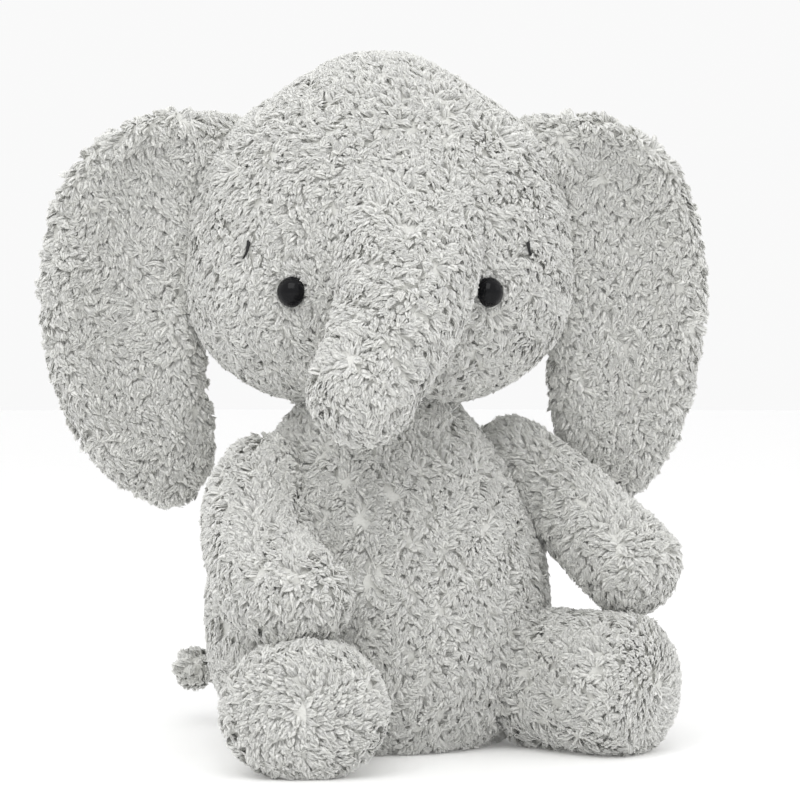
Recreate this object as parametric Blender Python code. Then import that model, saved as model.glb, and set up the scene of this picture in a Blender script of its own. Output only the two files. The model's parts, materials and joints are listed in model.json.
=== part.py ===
"""A sitting stuffed elephant: sewn plush covers over soft filling, with safety eyes.

Metres, +Z up. The elephant sits on z = 0 and faces -Y, so its own left side is +X. The origin is
the middle of its flat seat. Each cover panel, filling and fitting is one closed solid, parented to
an empty that stands on the joint it moves on.
"""
import math

import bmesh
import bpy
from mathutils import Vector

# Fabric and fits
PLUSH = 0.0025          # backing cloth with its pile pressed flat
SEAM = 0.0008           # opening between neighbouring panels along a seam
FILL_GAP = 0.0010       # between a cover and the filling inside it
ARM_FILL_GAP = 0.0032   # the same in the arms, which are loosely filled
NECK_GAP = 0.0010       # between the body and the turning head
ROOT_GAP = 0.0015       # between a limb's root and what it is sewn to

# Body: a pear with a flat seat
BODY_WIDTH = 0.148
BODY_DEPTH = 0.130
BODY_HEIGHT = 0.1415
BODY_PROFILE = ((0.0, 0.66), (0.05, 0.81), (0.18, 0.94), (0.40, 1.0), (0.60, 0.93), (0.78, 0.75),
                (0.91, 0.53), (1.0, 0.30))      # share of the height, share of the half width
BODY_RINGS = (0.0, 0.04, 0.12, 0.25, 0.40, 0.55, 0.69, 0.81, 0.91, 0.97, 1.0)
BEAN_BAG_WIDTH = 0.084
BEAN_BAG_DEPTH = 0.072
BEAN_BAG_HEIGHT = 0.016

# Head: sizes before its underside is cut flat for the neck
HEAD_WIDTH = 0.160
HEAD_DEPTH = 0.135
HEAD_HEIGHT = 0.149
CHEEK_HEIGHT = 0.054    # of the widest level, above the lowest point
NECK_CUT = 0.003        # cut off the underside
HEAD_SQUARENESS = 2.25  # 2 is an ellipse, and more is fuller
HEAD_TURN = math.radians(-22.0)
HEAD_ROWS = (-90, -72, -56, -42, -30, -19, -7, 7, 19, 30, 42, 56, 72, 90)   # degrees from side to side
CHEEK_SEAM = 19         # degrees, the row of the seam between gusset and cheek
NAPE_COLUMN = 12        # where the gusset ends behind, and the chin panel begins
CHIN_COLUMN = 18        # where the chin panel ends in front

# Trunk, in the head's frame
TRUNK_ROOT = 0.068      # height of its middle above the neck
TRUNK_OFF = 0.003       # to the left at the root
TRUNK_ROOT_WIDTH = 0.054
TRUNK_ROOT_HEIGHT = 0.056
TRUNK_TIP_WIDTH = 0.037
TRUNK_TIP_HEIGHT = 0.036
TRUNK_REACH = 0.050     # forward of the head
TRUNK_DROP = 0.078      # from its root to its tip
TRUNK_SWEEP = 0.024     # to the right at the tip
TRUNK_CURVE = ((0.12, 0.52, 0.30), (0.50, 0.86, 0.66), (1.0, 1.0, 1.0))  # shares of sweep, reach and drop
TRUNK_TIP_DOME = 0.012
TRUNK_WAIST = 0.001     # that its half width loses halfway
TRUNK_HOLLOW = 0.002    # that its half height loses halfway

# Ears, in the head's frame
EAR_LENGTH = 0.163
EAR_WIDTH = 0.063
EAR_THICKNESS = 0.018
EAR_TOP = 0.121         # above the neck
EAR_CUP = 0.007         # how far the long edges stand forward of the middle
EAR_TOP_FORWARD = 0.008
EAR_BEHIND_ARM = 0.0045  # of its middle behind the arm's back, at the shoulder's level
EAR_FROM_SHOULDER = 0.0427   # the least that the middle of its tip is out from the shoulder
EAR_HINGE_DROP = 0.010  # of the hinge below the top
EAR_HINGE_IN = 0.004    # of the hinge inside the head's side
EAR_LEAN = ((0.0, 0.42), (0.15, 0.69), (0.27, 0.90), (0.43, 1.0), (0.6, 0.96), (0.75, 0.79),
            (1.0, 0.50))    # share of the length, share of the half width that the middle lies out

EAR_FILL_GAP = 0.0034   # round the thin wadding in an ear

# Legs and feet
HIP_SPREAD = 0.042
HIP_FORWARD = 0.020
LEG_SPLAY = math.radians(27.0)
LEG_REACH = 0.086       # from the hip to the sole
FOOT_WIDTH = 0.064
FOOT_HEIGHT = 0.058
FOOT_CENTRE = 0.058     # along the leg from the hip
SOLE_SHARE = 0.97       # of the foot's width and height, at the sole's seam
LEG_ROOT_WIDTH = 0.050
LEG_ROOT_HEIGHT = 0.050
FOOT_SINK = 0.0015      # of the underside pressed flat on the floor
SOLE_BULGE = 0.010
LEG_ROOT_DOME = 0.010   # length of the round end at the hip, left open against the body

# Arms: the paws rest on the feet
SHOULDER_HEIGHT = 0.117
SHOULDER_OUT = 0.004    # of the arm's middle, outside the body
SHOULDER_THICKNESS = 0.028
ARM_THICKNESS = 0.038
ARM_ROOT_DOME = 0.010   # length of the round end at the shoulder
PAW_DOME = 0.015        # and at the paw
PAW_WIDTH = 0.046
PAW_HEIGHT = 0.038
PAW_ABOVE_FOOT = 0.0015
RIGHT_PAW = (-0.004, -0.006)    # from the foot's middle: outward, and towards the sole
LEFT_PAW = (0.0175, 0.003)
RIGHT_ELBOW_OUT = 0.017
LEFT_ELBOW_OUT = 0.0
ELBOW_SAG = 0.6         # share of how far out an elbow is that it hangs lower
UPPER_ARM_SHARE = 0.45  # and that the upper arm lies out
PAW_REACH = 0.42        # share of the paw's width that it reaches past its middle

# Tail
TAIL_HEIGHT = 0.027
TAIL_THICKNESS = 0.014
TAIL_TUFT = 0.018
TAIL_BACK = 0.022
TAIL_SWEEP = 0.056      # to the right at the tuft

# Safety eyes and stitches, in the head's frame
EYE_RADIUS = 0.006
EYE_DOME = 0.0046
EYE_SPREAD = 0.040
EYE_HEIGHT = 0.045
SHANK_RADIUS = 0.0018
SHANK_LENGTH = 0.0085
WASHER_RADIUS = 0.0062
WASHER_THICKNESS = 0.0012
EYE_FIT = 0.0004        # all round the eye's shank and washer
SAG = 0.0008            # the most that a flat facet of the head lies under its curve
CUTTER_CLEAR = 0.006    # how far an eye's cutter stands out of the face
BROW_SPREAD = 0.054
BROW_HEIGHT = 0.0610
BROW_LENGTH = 0.0085
THREAD_RADIUS = 0.0006
NECK_THREAD_LEVEL = 0.985   # share of the body's height

TURN = 2.0 * math.pi
BODY_COLUMNS = 20
HEAD_COLUMNS = 20
LIMB_COLUMNS = 14
LEG_COLUMNS = 16
DOME_STEPS = 3          # rows of facets in a limb's round end
EAR_COLUMNS = 16
EAR_ROWS = 11
TAIL_COLUMNS = 10
EYE_SEGMENTS = 20
SIDES = (("left", 1.0), ("right", -1.0))


def material(name, colour, roughness):
    """A plain Principled material."""
    made = bpy.data.materials.new(name)
    made.use_nodes = True
    shader = made.node_tree.nodes["Principled BSDF"]
    shader.inputs["Base Color"].default_value = (*colour, 1.0)
    shader.inputs["Roughness"].default_value = roughness
    shader.inputs["Metallic"].default_value = 0.0
    return made


def plush(name, shade=0.62):
    return material(name, (shade, shade, shade * 0.985), 0.95)


def filling_fibre(name):
    return material(name, (0.86, 0.86, 0.84), 0.95)


def pivot(name, place, parent=None, turn=0.0):
    """An empty on a joint, placed in its parent's frame."""
    empty = bpy.data.objects.new(name, None)
    bpy.context.scene.collection.objects.link(empty)
    empty.empty_display_size = 0.02
    empty.parent = parent
    empty.location = place
    empty.rotation_euler = (0.0, 0.0, turn)
    return empty


def add_object(name, mesh, surface, parent, smooth=math.radians(50.0)):
    """One named object from a bmesh whose points are in the frame of the parent's parent."""
    origin = parent.location if parent.parent or parent.location.length else Vector()
    if parent.rotation_euler.z:
        origin = Vector()
    for vertex in mesh.verts:
        vertex.co -= origin
    data = bpy.data.meshes.new(name)
    mesh.to_mesh(data)
    mesh.free()
    data.shade_smooth()
    data.set_sharp_from_angle(angle=smooth)
    data.materials.append(surface)
    made = bpy.data.objects.new(name, data)
    bpy.context.scene.collection.objects.link(made)
    made.parent = parent
    return made


def signed_power(value, power):
    return math.copysign(abs(value) ** power, value)


def smooth_value(points, at):
    """The height at one place of a smooth curve through (place, height) points."""
    slopes = []
    for index in range(len(points)):
        before = points[max(index - 1, 0)]
        after = points[min(index + 1, len(points) - 1)]
        slopes.append((after[1] - before[1]) / (after[0] - before[0]))
    index = 0
    while index < len(points) - 2 and at > points[index + 1][0]:
        index += 1
    (start, low), (end, high) = points[index], points[index + 1]
    span = end - start
    t = min(max((at - start) / span, 0.0), 1.0)
    rise = (2 * t ** 3 - 3 * t ** 2 + 1) * low + (3 * t ** 2 - 2 * t ** 3) * high
    lean = (t ** 3 - 2 * t ** 2 + t) * slopes[index] + (t ** 3 - t ** 2) * slopes[index + 1]
    return rise + lean * span


def smooth_path(points, share):
    """A place on a smooth curve through the points, and the direction there."""
    knots = [index / (len(points) - 1) for index in range(len(points))]
    tracks = [[(knot, point[axis]) for knot, point in zip(knots, points)] for axis in range(3)]
    step = 0.01
    place = Vector([smooth_value(track, share) for track in tracks])
    ahead = Vector([smooth_value(track, min(share + step, 1.0)) for track in tracks])
    behind = Vector([smooth_value(track, max(share - step, 0.0)) for track in tracks])
    return place, (ahead - behind).normalized()


def triangles(corners):
    """The one or two triangles of a cell, always cut the same way, so that layers stay parallel."""
    kept = list(dict.fromkeys(corners))
    return [(kept[0], kept[step], kept[step + 1]) for step in range(1, len(kept) - 1)]


def closed_form(point_at, rows, columns):
    """A closed skin with a pole at each end: its bmesh and its grid of points."""
    mesh = bmesh.new()
    grid = []
    for index, row in enumerate(rows):
        if index in (0, len(rows) - 1):
            grid.append([mesh.verts.new(point_at(row, 0.0))] * columns)
        else:
            grid.append([mesh.verts.new(point_at(row, TURN * column / columns)) for column in range(columns)])
    for near, far in zip(grid, grid[1:]):
        for column in range(columns):
            following = (column + 1) % columns
            for cell in triangles([near[column], near[following], far[following], far[column]]):
                mesh.faces.new(cell)
    bmesh.ops.recalc_face_normals(mesh, faces=mesh.faces)
    mesh.normal_update()
    return mesh, grid


def filling(name, form, surface, parent, depth=PLUSH + FILL_GAP, floor=None):
    """The soft filling of a cover: its form, drawn in by the cover's thickness and a gap."""
    inner = form[0].copy()
    inner.verts.ensure_lookup_table()
    inner.normal_update()
    moved = [vertex.co - vertex.normal * depth for vertex in inner.verts]
    for vertex, place in zip(inner.verts, moved):
        vertex.co = place
        if floor is not None:
            vertex.co.z = max(place.z, floor)
    bmesh.ops.recalc_face_normals(inner, faces=inner.faces)
    return add_object(name, inner, surface, parent)


def panel(name, form, rows, columns, surface, parent):
    """One sewn panel: a patch of the form between two rows and two columns, with the cloth's thickness."""
    grid = form[1]
    count = len(grid[0])
    around = columns[1] - columns[0] == count
    picked = []
    for row in range(rows[0], rows[1] + 1):
        across = range(columns[0], columns[1] + (0 if around else 1))
        picked.append([grid[row][column % count] for column in across])
    last_row = len(picked) - 1
    last_column = len(picked[0]) - 1
    mesh = bmesh.new()
    outer = {}
    inner = {}
    for r, line in enumerate(picked):
        for c, corner in enumerate(line):
            if corner in outer:
                continue
            pole = line[0] is line[-1]
            draw = Vector()
            if r in (0, last_row) and not (pole and around):
                beside = picked[1 if r == 0 else last_row - 1]
                draw += (beside[last_column // 2 if pole else c].co - corner.co).normalized()
            if c in (0, last_column) and not around and not pole:
                draw += (line[1 if c == 0 else last_column - 1].co - corner.co).normalized()
            place = corner.co + draw * SEAM / 2
            outer[corner] = mesh.verts.new(place)
            inner[corner] = mesh.verts.new(place - corner.normal * PLUSH)
    for near, far in zip(picked, picked[1:]):
        for c in range(len(near) if around else last_column):
            d = (c + 1) % len(near)
            for cell in triangles([near[c], near[d], far[d], far[c]]):
                mesh.faces.new([outer[corner] for corner in cell])
                mesh.faces.new([inner[corner] for corner in reversed(cell)])
    inside = {outer[corner]: inner[corner] for corner in outer}
    rims = [edge for edge in mesh.edges if len(edge.link_faces) == 1 and edge.verts[0] in inside]
    for edge in rims:
        a, b = edge.verts
        mesh.faces.new([a, b, inside[b], inside[a]])
    bmesh.ops.recalc_face_normals(mesh, faces=mesh.faces)
    return add_object(name, mesh, surface, parent)


def rounded_rows(length, start, end, between, steps=DOME_STEPS):
    """Rows along a tube as (share of its length, share of its radius), domed at its ends."""
    rows = [(0.0, 0.0), (0.0, 1.0)]
    if start:
        angles = [math.pi / 2 * step / steps for step in range(steps + 1)]
        rows = [(start / length * (1.0 - math.cos(angle)), math.sin(angle)) for angle in angles]
    for step in range(1, between + 1):
        low = start / length
        high = 1.0 - end / length
        rows.append((low + (high - low) * step / (between + 1), 1.0))
    angles = [math.pi / 2 * step / steps for step in range(steps, -1, -1)]
    rows += [(1.0 - end / length * (1.0 - math.cos(angle)), math.sin(angle)) for angle in angles]
    return rows


def path_length(points):
    return sum((far - near).length for near, far in zip(points, points[1:]))


def tube(points, wide, high, columns, start, end, between, settle=None):
    """A soft tube along a path. wide and high are its half sizes as (share of length, size)."""
    def point_at(row, angle):
        share, shrink = row
        place, along = smooth_path(points, share)
        side = along.cross(Vector((0.0, 0.0, 1.0))).normalized()
        up = side.cross(along)
        width = smooth_value(wide, share) * shrink
        height = smooth_value(high, share) * shrink
        found = place + side * width * math.cos(angle) + up * height * math.sin(angle)
        return settle(found) if settle else found

    return closed_form(point_at, rounded_rows(path_length(points), start, end, between), columns)


def turned(profile, segments):
    """A turned solid: a closed (radius, height) profile spun about Z."""
    mesh = bmesh.new()
    corners = [mesh.verts.new((radius, 0.0, height)) for radius, height in profile]
    edges = [mesh.edges.new(pair) for pair in zip(corners, corners[1:])]
    if profile[0][0] > 0.0:
        edges.append(mesh.edges.new((corners[-1], corners[0])))
    bmesh.ops.spin(mesh, geom=corners + edges, axis=(0, 0, 1), cent=(0, 0, 0), dvec=(0, 0, 0),
                   angle=TURN, steps=segments, use_duplicate=False)
    bmesh.ops.remove_doubles(mesh, verts=mesh.verts, dist=1e-6)
    bmesh.ops.recalc_face_normals(mesh, faces=mesh.faces)
    return mesh


# ---------------------------------------------------------------- body

def body_share(level):
    return smooth_value(BODY_PROFILE, level)


def body_point(row, angle):
    level, share = row
    across = share * BODY_WIDTH / 2 * math.sin(angle)
    return Vector((across, -share * BODY_DEPTH / 2 * math.cos(angle), level * BODY_HEIGHT))


def shoulder_out():
    """How far a shoulder is from the body's middle."""
    return body_share(SHOULDER_HEIGHT / BODY_HEIGHT) * BODY_WIDTH / 2 + SHOULDER_OUT


def outside_body(point, gap):
    """The point, moved straight out from the body's middle line where it lies inside the body."""
    level = min(max(point.z / BODY_HEIGHT, 0.0), 1.0)
    share = body_share(level)
    reach = math.hypot(point.x / (share * BODY_WIDTH / 2 + gap), point.y / (share * BODY_DEPTH / 2 + gap))
    if reach >= 1.0 or reach == 0.0:
        return point
    return Vector((point.x / reach, point.y / reach, point.z))


def build_body(root):
    rings = [(level, body_share(level)) for level in BODY_RINGS]
    form = closed_form(body_point, [(0.0, 0.0)] + rings + [(1.0, 0.0)], BODY_COLUMNS)
    top = len(BODY_RINGS)
    quarter = BODY_COLUMNS // 4
    panel("seat_panel", form, (0, 2), (0, BODY_COLUMNS), plush("seat_plush", 0.56), root)
    panel("belly_left", form, (2, top), (0, quarter), plush("belly_left_plush"), root)
    panel("belly_right", form, (2, top), (3 * quarter, BODY_COLUMNS), plush("belly_right_plush", 0.60), root)
    panel("back_panel", form, (2, top), (quarter, 3 * quarter), plush("back_plush", 0.58), root)
    bean_floor = PLUSH + FILL_GAP
    bean_top = bean_floor + BEAN_BAG_HEIGHT
    filling("body_stuffing", form, filling_fibre("body_fibre"), root, floor=bean_top + FILL_GAP)
    form[0].free()

    def bean_point(row, angle):
        share = math.cos(row) ** 0.6
        lift = signed_power(math.sin(row), 0.6) * BEAN_BAG_HEIGHT / 2
        return Vector((BEAN_BAG_WIDTH / 2 * share * math.sin(angle),
                       -BEAN_BAG_DEPTH / 2 * share * math.cos(angle),
                       bean_floor + BEAN_BAG_HEIGHT / 2 + lift))

    rows = [math.radians(angle) for angle in (-90, -50, -18, 18, 50, 90)]
    bag, _ = closed_form(bean_point, rows, LIMB_COLUMNS)
    add_object("bean_bag", bag, material("bean_cloth", (0.78, 0.76, 0.70), 0.9), root)

    share = body_share(NECK_THREAD_LEVEL)
    lift = NECK_THREAD_LEVEL * BODY_HEIGHT + THREAD_RADIUS + FILL_GAP
    ring = bmesh.new()
    count = 28
    loops = []
    for step in range(count):
        angle = TURN * step / count
        middle = body_point((0.0, share), angle)
        outward = middle.normalized()
        loop = []
        for corner in range(6):
            tilt = TURN * corner / 6
            side = outward * math.cos(tilt) * THREAD_RADIUS
            loop.append(ring.verts.new(middle + side + Vector((0, 0, lift + math.sin(tilt) * THREAD_RADIUS))))
        loops.append(loop)
    for step in range(count):
        near, far = loops[step], loops[(step + 1) % count]
        for corner in range(6):
            following = (corner + 1) % 6
            ring.faces.new([near[corner], near[following], far[following], far[corner]])
    bmesh.ops.recalc_face_normals(ring, faces=ring.faces)
    add_object("neck_thread", ring, material("neck_cotton", (0.5, 0.5, 0.5), 0.8), root)


# ---------------------------------------------------------------- head

HEAD_POWER = 2.0 / HEAD_SQUARENESS
HEAD_MIDDLE = CHEEK_HEIGHT - NECK_CUT       # of the widest level, above the neck


def head_point(row, angle):
    across = signed_power(math.sin(row), HEAD_POWER)
    shrink = max(math.cos(row), 0.0) ** HEAD_POWER
    forward = signed_power(math.cos(angle), HEAD_POWER) * shrink
    rise = signed_power(math.sin(angle), HEAD_POWER) * shrink
    half_height = HEAD_HEIGHT - CHEEK_HEIGHT if rise > 0.0 else CHEEK_HEIGHT
    height = HEAD_MIDDLE + rise * half_height
    return Vector((across * HEAD_WIDTH / 2, -forward * HEAD_DEPTH / 2, max(height, 0.0)))


def head_front(across, height):
    """The place on the face at a distance from its middle line and above the neck, and its normal."""
    row = math.asin(signed_power(across / (HEAD_WIDTH / 2), 1.0 / HEAD_POWER))
    shrink = math.cos(row) ** HEAD_POWER
    rise = (height - HEAD_MIDDLE) / shrink
    rise /= HEAD_HEIGHT - CHEEK_HEIGHT if rise > 0.0 else CHEEK_HEIGHT
    angle = math.asin(signed_power(rise, 1.0 / HEAD_POWER))
    place = head_point(row, angle)
    step = 0.01
    along = head_point(row + step, angle) - head_point(row - step, angle)
    upward = head_point(row, angle + step) - head_point(row, angle - step)
    return place, along.cross(upward).normalized()


def cut_out(target, cutter):
    """Subtracts a hidden cutter from a solid."""
    cutter.hide_render = True
    cutter.display_type = "WIRE"
    cut = target.modifiers.new(cutter.name, "BOOLEAN")
    cut.operation = "DIFFERENCE"
    cut.object = cutter


def build_head(root):
    head = pivot("head_pivot", (0.0, 0.0, BODY_HEIGHT + NECK_GAP), root, HEAD_TURN)
    rows = [math.radians(row) for row in HEAD_ROWS]
    form = closed_form(head_point, rows, HEAD_COLUMNS)
    right_seam = HEAD_ROWS.index(-CHEEK_SEAM)
    left_seam = HEAD_ROWS.index(CHEEK_SEAM)
    last = len(rows) - 1
    everywhere = (0, HEAD_COLUMNS)
    panel("forehead_gusset", form, (right_seam, left_seam), (CHIN_COLUMN, HEAD_COLUMNS + NAPE_COLUMN),
          plush("gusset_plush", 0.64), head)
    panel("chin_panel", form, (right_seam, left_seam), (NAPE_COLUMN, CHIN_COLUMN),
          plush("chin_plush", 0.54), head)
    cheeks = {
        "right": panel("right_cheek", form, (0, right_seam), everywhere, plush("right_cheek_plush"), head),
        "left": panel("left_cheek", form, (left_seam, last), everywhere, plush("left_cheek_plush"), head),
    }
    stuffing = filling("head_stuffing", form, filling_fibre("head_fibre"), head)
    form[0].free()

    inside = -PLUSH - SAG - FILL_GAP
    floor = inside - WASHER_THICKNESS
    eye_profile = [(0.0, EYE_DOME)]
    for step in range(1, 6):
        angle = math.pi / 2 * step / 5
        eye_profile.append((EYE_RADIUS * math.sin(angle), EYE_FIT + (EYE_DOME - EYE_FIT) * math.cos(angle)))
    eye_profile += [(SHANK_RADIUS, EYE_FIT), (SHANK_RADIUS, -SHANK_LENGTH), (0.0, -SHANK_LENGTH)]
    bore = SHANK_RADIUS + EYE_FIT
    washer_profile = [(bore, floor), (WASHER_RADIUS, floor), (WASHER_RADIUS, inside), (bore, inside)]
    pocket = WASHER_RADIUS + EYE_FIT
    bore_end = -SHANK_LENGTH - EYE_FIT
    pocket_end = floor - EYE_FIT
    bore_profile = [(0.0, CUTTER_CLEAR), (bore, CUTTER_CLEAR), (bore, bore_end), (0.0, bore_end)]
    pocket_profile = [(0.0, CUTTER_CLEAR), (pocket, CUTTER_CLEAR), (pocket, pocket_end), (0.0, pocket_end)]
    plastic = material("eye_plastic", (0.01, 0.01, 0.012), 0.08)
    washer_plastic = material("washer_plastic", (0.85, 0.85, 0.85), 0.4)
    cotton = material("brow_cotton", (0.02, 0.02, 0.02), 0.7)
    for side, sign in SIDES:
        place, outward = head_front(sign * EYE_SPREAD, EYE_HEIGHT)
        facing = outward.to_track_quat("Z", "Y").to_euler()
        turned_pieces = (("eye", eye_profile, plastic), ("eye_washer", washer_profile, washer_plastic),
                         ("eye_bore_cutter", bore_profile, washer_plastic),
                         ("eye_pocket_cutter", pocket_profile, washer_plastic))
        made = {}
        for label, profile, surface in turned_pieces:
            piece = add_object(f"{side}_{label}", turned(profile, EYE_SEGMENTS), surface, head)
            piece.location = place
            piece.rotation_euler = facing
            made[label] = piece
        cut_out(cheeks[side], made["eye_bore_cutter"])
        cut_out(stuffing, made["eye_bore_cutter"])
        cut_out(stuffing, made["eye_pocket_cutter"])

        line = bpy.data.curves.new(f"{side}_brow_stitch", "CURVE")
        line.dimensions = "3D"
        line.bevel_depth = THREAD_RADIUS
        line.bevel_resolution = 2
        line.use_fill_caps = True
        stitch = line.splines.new("POLY")
        count = 5
        stitch.points.add(count - 1)
        for step in range(count):
            rise = BROW_LENGTH * (step / (count - 1) - 0.5)
            spot, away = head_front(sign * BROW_SPREAD, BROW_HEIGHT + rise)
            stitch.points[step].co = (*(spot + away * (THREAD_RADIUS + EYE_FIT)), 1.0)
        line.materials.append(cotton)
        brow = bpy.data.objects.new(f"{side}_brow_stitch", line)
        bpy.context.scene.collection.objects.link(brow)
        brow.parent = head
    return head


def build_trunk(head):
    root_y = -HEAD_DEPTH / 2 - ROOT_GAP
    path = [Vector((TRUNK_OFF, root_y, TRUNK_ROOT))]
    for right, out, down in TRUNK_CURVE:
        path.append(Vector((TRUNK_OFF - right * TRUNK_SWEEP, root_y - out * TRUNK_REACH,
                            TRUNK_ROOT - down * TRUNK_DROP)))
    hinge = (0.0, root_y, TRUNK_ROOT + TRUNK_ROOT_HEIGHT / 2)
    trunk = pivot("trunk_pivot", hinge, head)

    def in_front(point):
        return Vector((point.x, min(point.y, root_y), point.z))

    middle_width = (TRUNK_ROOT_WIDTH + TRUNK_TIP_WIDTH) / 2 - 2 * TRUNK_WAIST
    middle_height = (TRUNK_ROOT_HEIGHT + TRUNK_TIP_HEIGHT) / 2 - 2 * TRUNK_HOLLOW
    wide = ((0.0, TRUNK_ROOT_WIDTH / 2), (0.5, middle_width / 2), (1.0, TRUNK_TIP_WIDTH / 2))
    high = ((0.0, TRUNK_ROOT_HEIGHT / 2), (0.5, middle_height / 2), (1.0, TRUNK_TIP_HEIGHT / 2))
    form = tube(path, wide, high, LIMB_COLUMNS, 0.0, TRUNK_TIP_DOME, 5, in_front)
    last = len(form[1]) - 1
    half = LIMB_COLUMNS // 2
    panel("trunk_top", form, (1, last), (0, half), plush("trunk_top_plush", 0.64), trunk)
    panel("trunk_underside", form, (1, last), (half, LIMB_COLUMNS), plush("trunk_under_plush", 0.55), trunk)
    filling("trunk_stuffing", form, filling_fibre("trunk_fibre"), trunk)
    form[0].free()


def build_ear(head, side, sign):
    hinge_height = EAR_TOP - EAR_HINGE_DROP
    hinge_out = HEAD_WIDTH / 2 - EAR_HINGE_IN
    side_out = HEAD_WIDTH / 2 + ROOT_GAP
    tip_out = side_out + EAR_WIDTH / 2 * EAR_LEAN[-1][1]
    tip_shift = max(shoulder_out() + EAR_FROM_SHOULDER - tip_out, 0.0)
    top_above_shoulder = BODY_HEIGHT + NECK_GAP + EAR_TOP - SHOULDER_HEIGHT
    back_slope = (EAR_TOP_FORWARD + ARM_THICKNESS / 2 + EAR_BEHIND_ARM) / top_above_shoulder
    ear = pivot(f"{side}_ear_pivot", (sign * hinge_out, -EAR_TOP_FORWARD, hinge_height), head)
    squareness = 2.0 / 2.6
    edge_power = 2.0 / 3.4

    def ear_form(inset):
        """The ear's closed form, with every side drawn in by an inset."""
        half_length = EAR_LENGTH / 2 - inset

        def ear_point(row, angle):
            share = 0.5 - signed_power(math.cos(row), squareness) / 2
            shrink = max(math.sin(row), 0.0)
            half_width = (EAR_WIDTH / 2 - inset) * shrink ** squareness
            half_thick = (EAR_THICKNESS / 2 - inset) * shrink ** edge_power
            middle = side_out + EAR_WIDTH / 2 * smooth_value(EAR_LEAN, share) + tip_shift * share ** 2
            across = signed_power(math.cos(angle), edge_power) * half_width
            cup = EAR_CUP * (across / (EAR_WIDTH / 2)) ** 2
            back = -EAR_TOP_FORWARD + back_slope * EAR_LENGTH * share
            thick = signed_power(math.sin(angle), edge_power) * half_thick
            height = EAR_TOP - EAR_LENGTH / 2 + half_length * (1.0 - 2.0 * share)
            return Vector((sign * (middle + across), back - cup - thick, height))

        rows = [math.pi * step / EAR_ROWS for step in range(EAR_ROWS + 1)]
        return closed_form(ear_point, rows, EAR_COLUMNS)

    form = ear_form(0.0)
    half = EAR_COLUMNS // 2
    panel(f"{side}_ear_front", form, (0, EAR_ROWS), (0, half), plush(f"{side}_ear_front_plush", 0.60), ear)
    panel(f"{side}_ear_back", form, (0, EAR_ROWS), (half, EAR_COLUMNS), plush(f"{side}_ear_back_plush"), ear)
    form[0].free()
    wadding = filling_fibre(f"{side}_ear_wadding")
    add_object(f"{side}_ear_padding", ear_form(PLUSH + EAR_FILL_GAP)[0], wadding, ear)


# ---------------------------------------------------------------- legs, arms and tail

def leg_axes(sign):
    """A leg's hip, its direction towards the sole, and its outward direction."""
    along = Vector((sign * math.sin(LEG_SPLAY), -math.cos(LEG_SPLAY), 0.0))
    outward = Vector((sign * math.cos(LEG_SPLAY), math.sin(LEG_SPLAY), 0.0))
    hip = Vector((sign * HIP_SPREAD, -HIP_FORWARD, FOOT_HEIGHT / 2 - FOOT_SINK))
    return hip, along, outward


def body_edge_along(start, along):
    """How far it is from a point inside the body to the body's widest outline, in one direction."""
    a, b = BODY_WIDTH / 2, BODY_DEPTH / 2
    x, y = start.x / a, start.y / b
    dx, dy = along.x / a, along.y / b
    first = dx * dx + dy * dy
    middle = x * dx + y * dy
    return (-middle + math.sqrt(middle * middle - first * (x * x + y * y - 1.0))) / first


def build_leg(root, side, sign):
    hip, along, _ = leg_axes(sign)
    leg = pivot(f"{side}_leg_pivot", hip, root)
    begin = body_edge_along(hip, along) + ROOT_GAP
    path = [hip + along * (begin + (LEG_REACH - begin) * step / 3) for step in range(4)]
    foot = (FOOT_CENTRE - begin) / (LEG_REACH - begin)
    wide = ((0.0, LEG_ROOT_WIDTH / 2), (foot, FOOT_WIDTH / 2), (1.0, FOOT_WIDTH / 2 * SOLE_SHARE))
    high = ((0.0, LEG_ROOT_HEIGHT / 2), (foot, FOOT_HEIGHT / 2), (1.0, FOOT_HEIGHT / 2 * SOLE_SHARE))

    def on_floor(point):
        return Vector((point.x, point.y, max(point.z, 0.0)))

    form = tube(path, wide, high, LEG_COLUMNS, LEG_ROOT_DOME, SOLE_BULGE, 3, on_floor)
    last = len(form[1]) - 1
    sole = last - DOME_STEPS
    half = LEG_COLUMNS // 2
    panel(f"{side}_leg_upper", form, (2, sole), (0, half), plush(f"{side}_leg_upper_plush"), leg)
    panel(f"{side}_leg_under", form, (2, sole), (half, 2 * half), plush(f"{side}_leg_under_plush", 0.54), leg)
    panel(f"{side}_sole", form, (sole, last), (0, 2 * half), plush(f"{side}_sole_plush", 0.66), leg)
    filling(f"{side}_leg_stuffing", form, filling_fibre(f"{side}_leg_fibre"), leg)
    form[0].free()


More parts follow.
